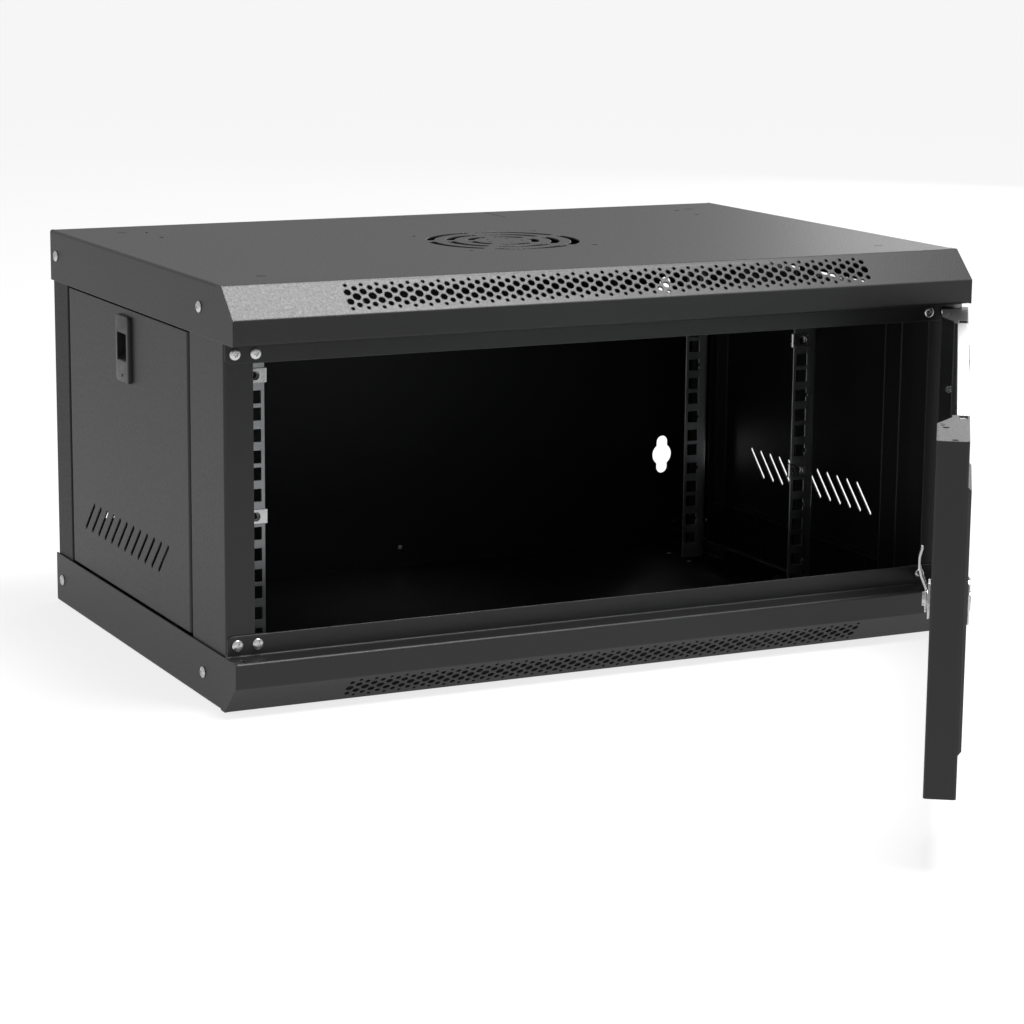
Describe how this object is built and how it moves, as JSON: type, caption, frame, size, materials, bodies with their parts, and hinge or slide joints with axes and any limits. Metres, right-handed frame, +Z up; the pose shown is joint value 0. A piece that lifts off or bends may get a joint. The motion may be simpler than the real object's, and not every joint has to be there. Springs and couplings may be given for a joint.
{
  "type": "wall-mount network rack cabinet",
  "caption": "Wall-mount 19-inch network rack cabinet with vented covers, adjustable rack rails, latched side panels and a lockable glass door.",
  "frame": {"origin": "centre of the cabinet's underside", "axes": "+X to the cabinet's right seen from the front (hinge side), +Y to the back, +Z up; the door is at the front, towards -Y"},
  "size_m": [0.604, 0.8815, 0.3],
  "materials": {
    "black_powder_coat": "fine-textured semi-gloss black powder coat on steel sheet",
    "zinc_rail": "zinc-plated steel, dull",
    "zinc_hardware": "bright zinc-plated steel",
    "bright_channel": "bright drawn aluminium",
    "lock_metal": "nickel-plated zinc die casting",
    "black_plastic": "moulded black plastic, slightly glossy",
    "black_rubber": "matt black rubber",
    "clear_glass": "clear tempered glass",
    "nylon": "natural nylon"
  },
  "bodies": {
    "cabinet": {"top_cover": "black_powder_coat", "bottom_cover": "black_powder_coat", "top_entry_plate": "black_powder_coat", "back_panel": "black_powder_coat", "left_post": "black_powder_coat", "right_post": "black_powder_coat", "left_panel": "black_powder_coat", "right_panel": "black_powder_coat", "left_latch_body": "black_plastic", "right_latch_body": "black_plastic", "bottom_left_beam": "black_powder_coat", "bottom_right_beam": "black_powder_coat", "top_left_beam": "black_powder_coat", "top_right_beam": "black_powder_coat", "beam_rivets": "black_powder_coat", "front_left_rail": "zinc_rail", "front_right_rail": "zinc_rail", "rear_left_rail": "zinc_rail", "rear_right_rail": "zinc_rail", "rail_screws": "zinc_hardware", "nut_clips": "zinc_hardware", "clip_nuts": "zinc_hardware", "cover_side_screws": "zinc_hardware", "front_lip_screws": "zinc_hardware", "back_screws": "zinc_hardware"},
    "door": {"hinge_stile": "black_powder_coat", "free_stile": "black_powder_coat", "glass_pane": "clear_glass", "glass_seals": "black_rubber", "top_glass_rail": "bright_channel", "bottom_glass_rail": "bright_channel", "pin_spring": "zinc_hardware", "lower_hinge_pin": "zinc_hardware", "hinge_washers": "nylon", "pin_bracket": "zinc_hardware", "lock_body": "lock_metal", "lock_nut": "zinc_hardware", "earth_stud": "zinc_hardware"},
    "upper_pin": {"upper_hinge_pin": "zinc_hardware"},
    "lock": {"lock_plug": "lock_metal", "lock_cam": "zinc_hardware", "lock_cam_screw": "zinc_hardware"},
    "left_latch": {"left_latch_slider": "black_plastic"},
    "right_latch": {"right_latch_slider": "black_plastic"}
  },
  "joints": [
    {"name": "door_hinge", "type": "hinge", "parent": "cabinet", "child": "door", "pos_m": [0.292, -0.1925, 0.15], "axis": [0, 0, 1], "range_deg": [-55.5, 124.5]},
    {"name": "upper_pin_slide", "type": "slide", "parent": "door", "child": "upper_pin", "axis": [0, 0, -1], "range_m": [0, 0.01], "stiffness_N_per_m": 300, "springref_m": -0.005, "deforming": ["pin_spring"]},
    {"name": "lock_turn", "type": "hinge", "parent": "door", "child": "lock", "pos_m": [-0.01839, -0.64412, 0.1545], "axis": [0.8241, -0.5664, 0], "range_deg": [0, 90]},
    {"name": "left_latch_slide", "type": "slide", "parent": "cabinet", "child": "left_latch", "axis": [0, 0, -1], "range_m": [0, 0.0075], "stiffness_N_per_m": 100, "springref_m": -0.005},
    {"name": "right_latch_slide", "type": "slide", "parent": "cabinet", "child": "right_latch", "axis": [0, 0, -1], "range_m": [0, 0.0075], "stiffness_N_per_m": 100, "springref_m": -0.005}
  ]
}
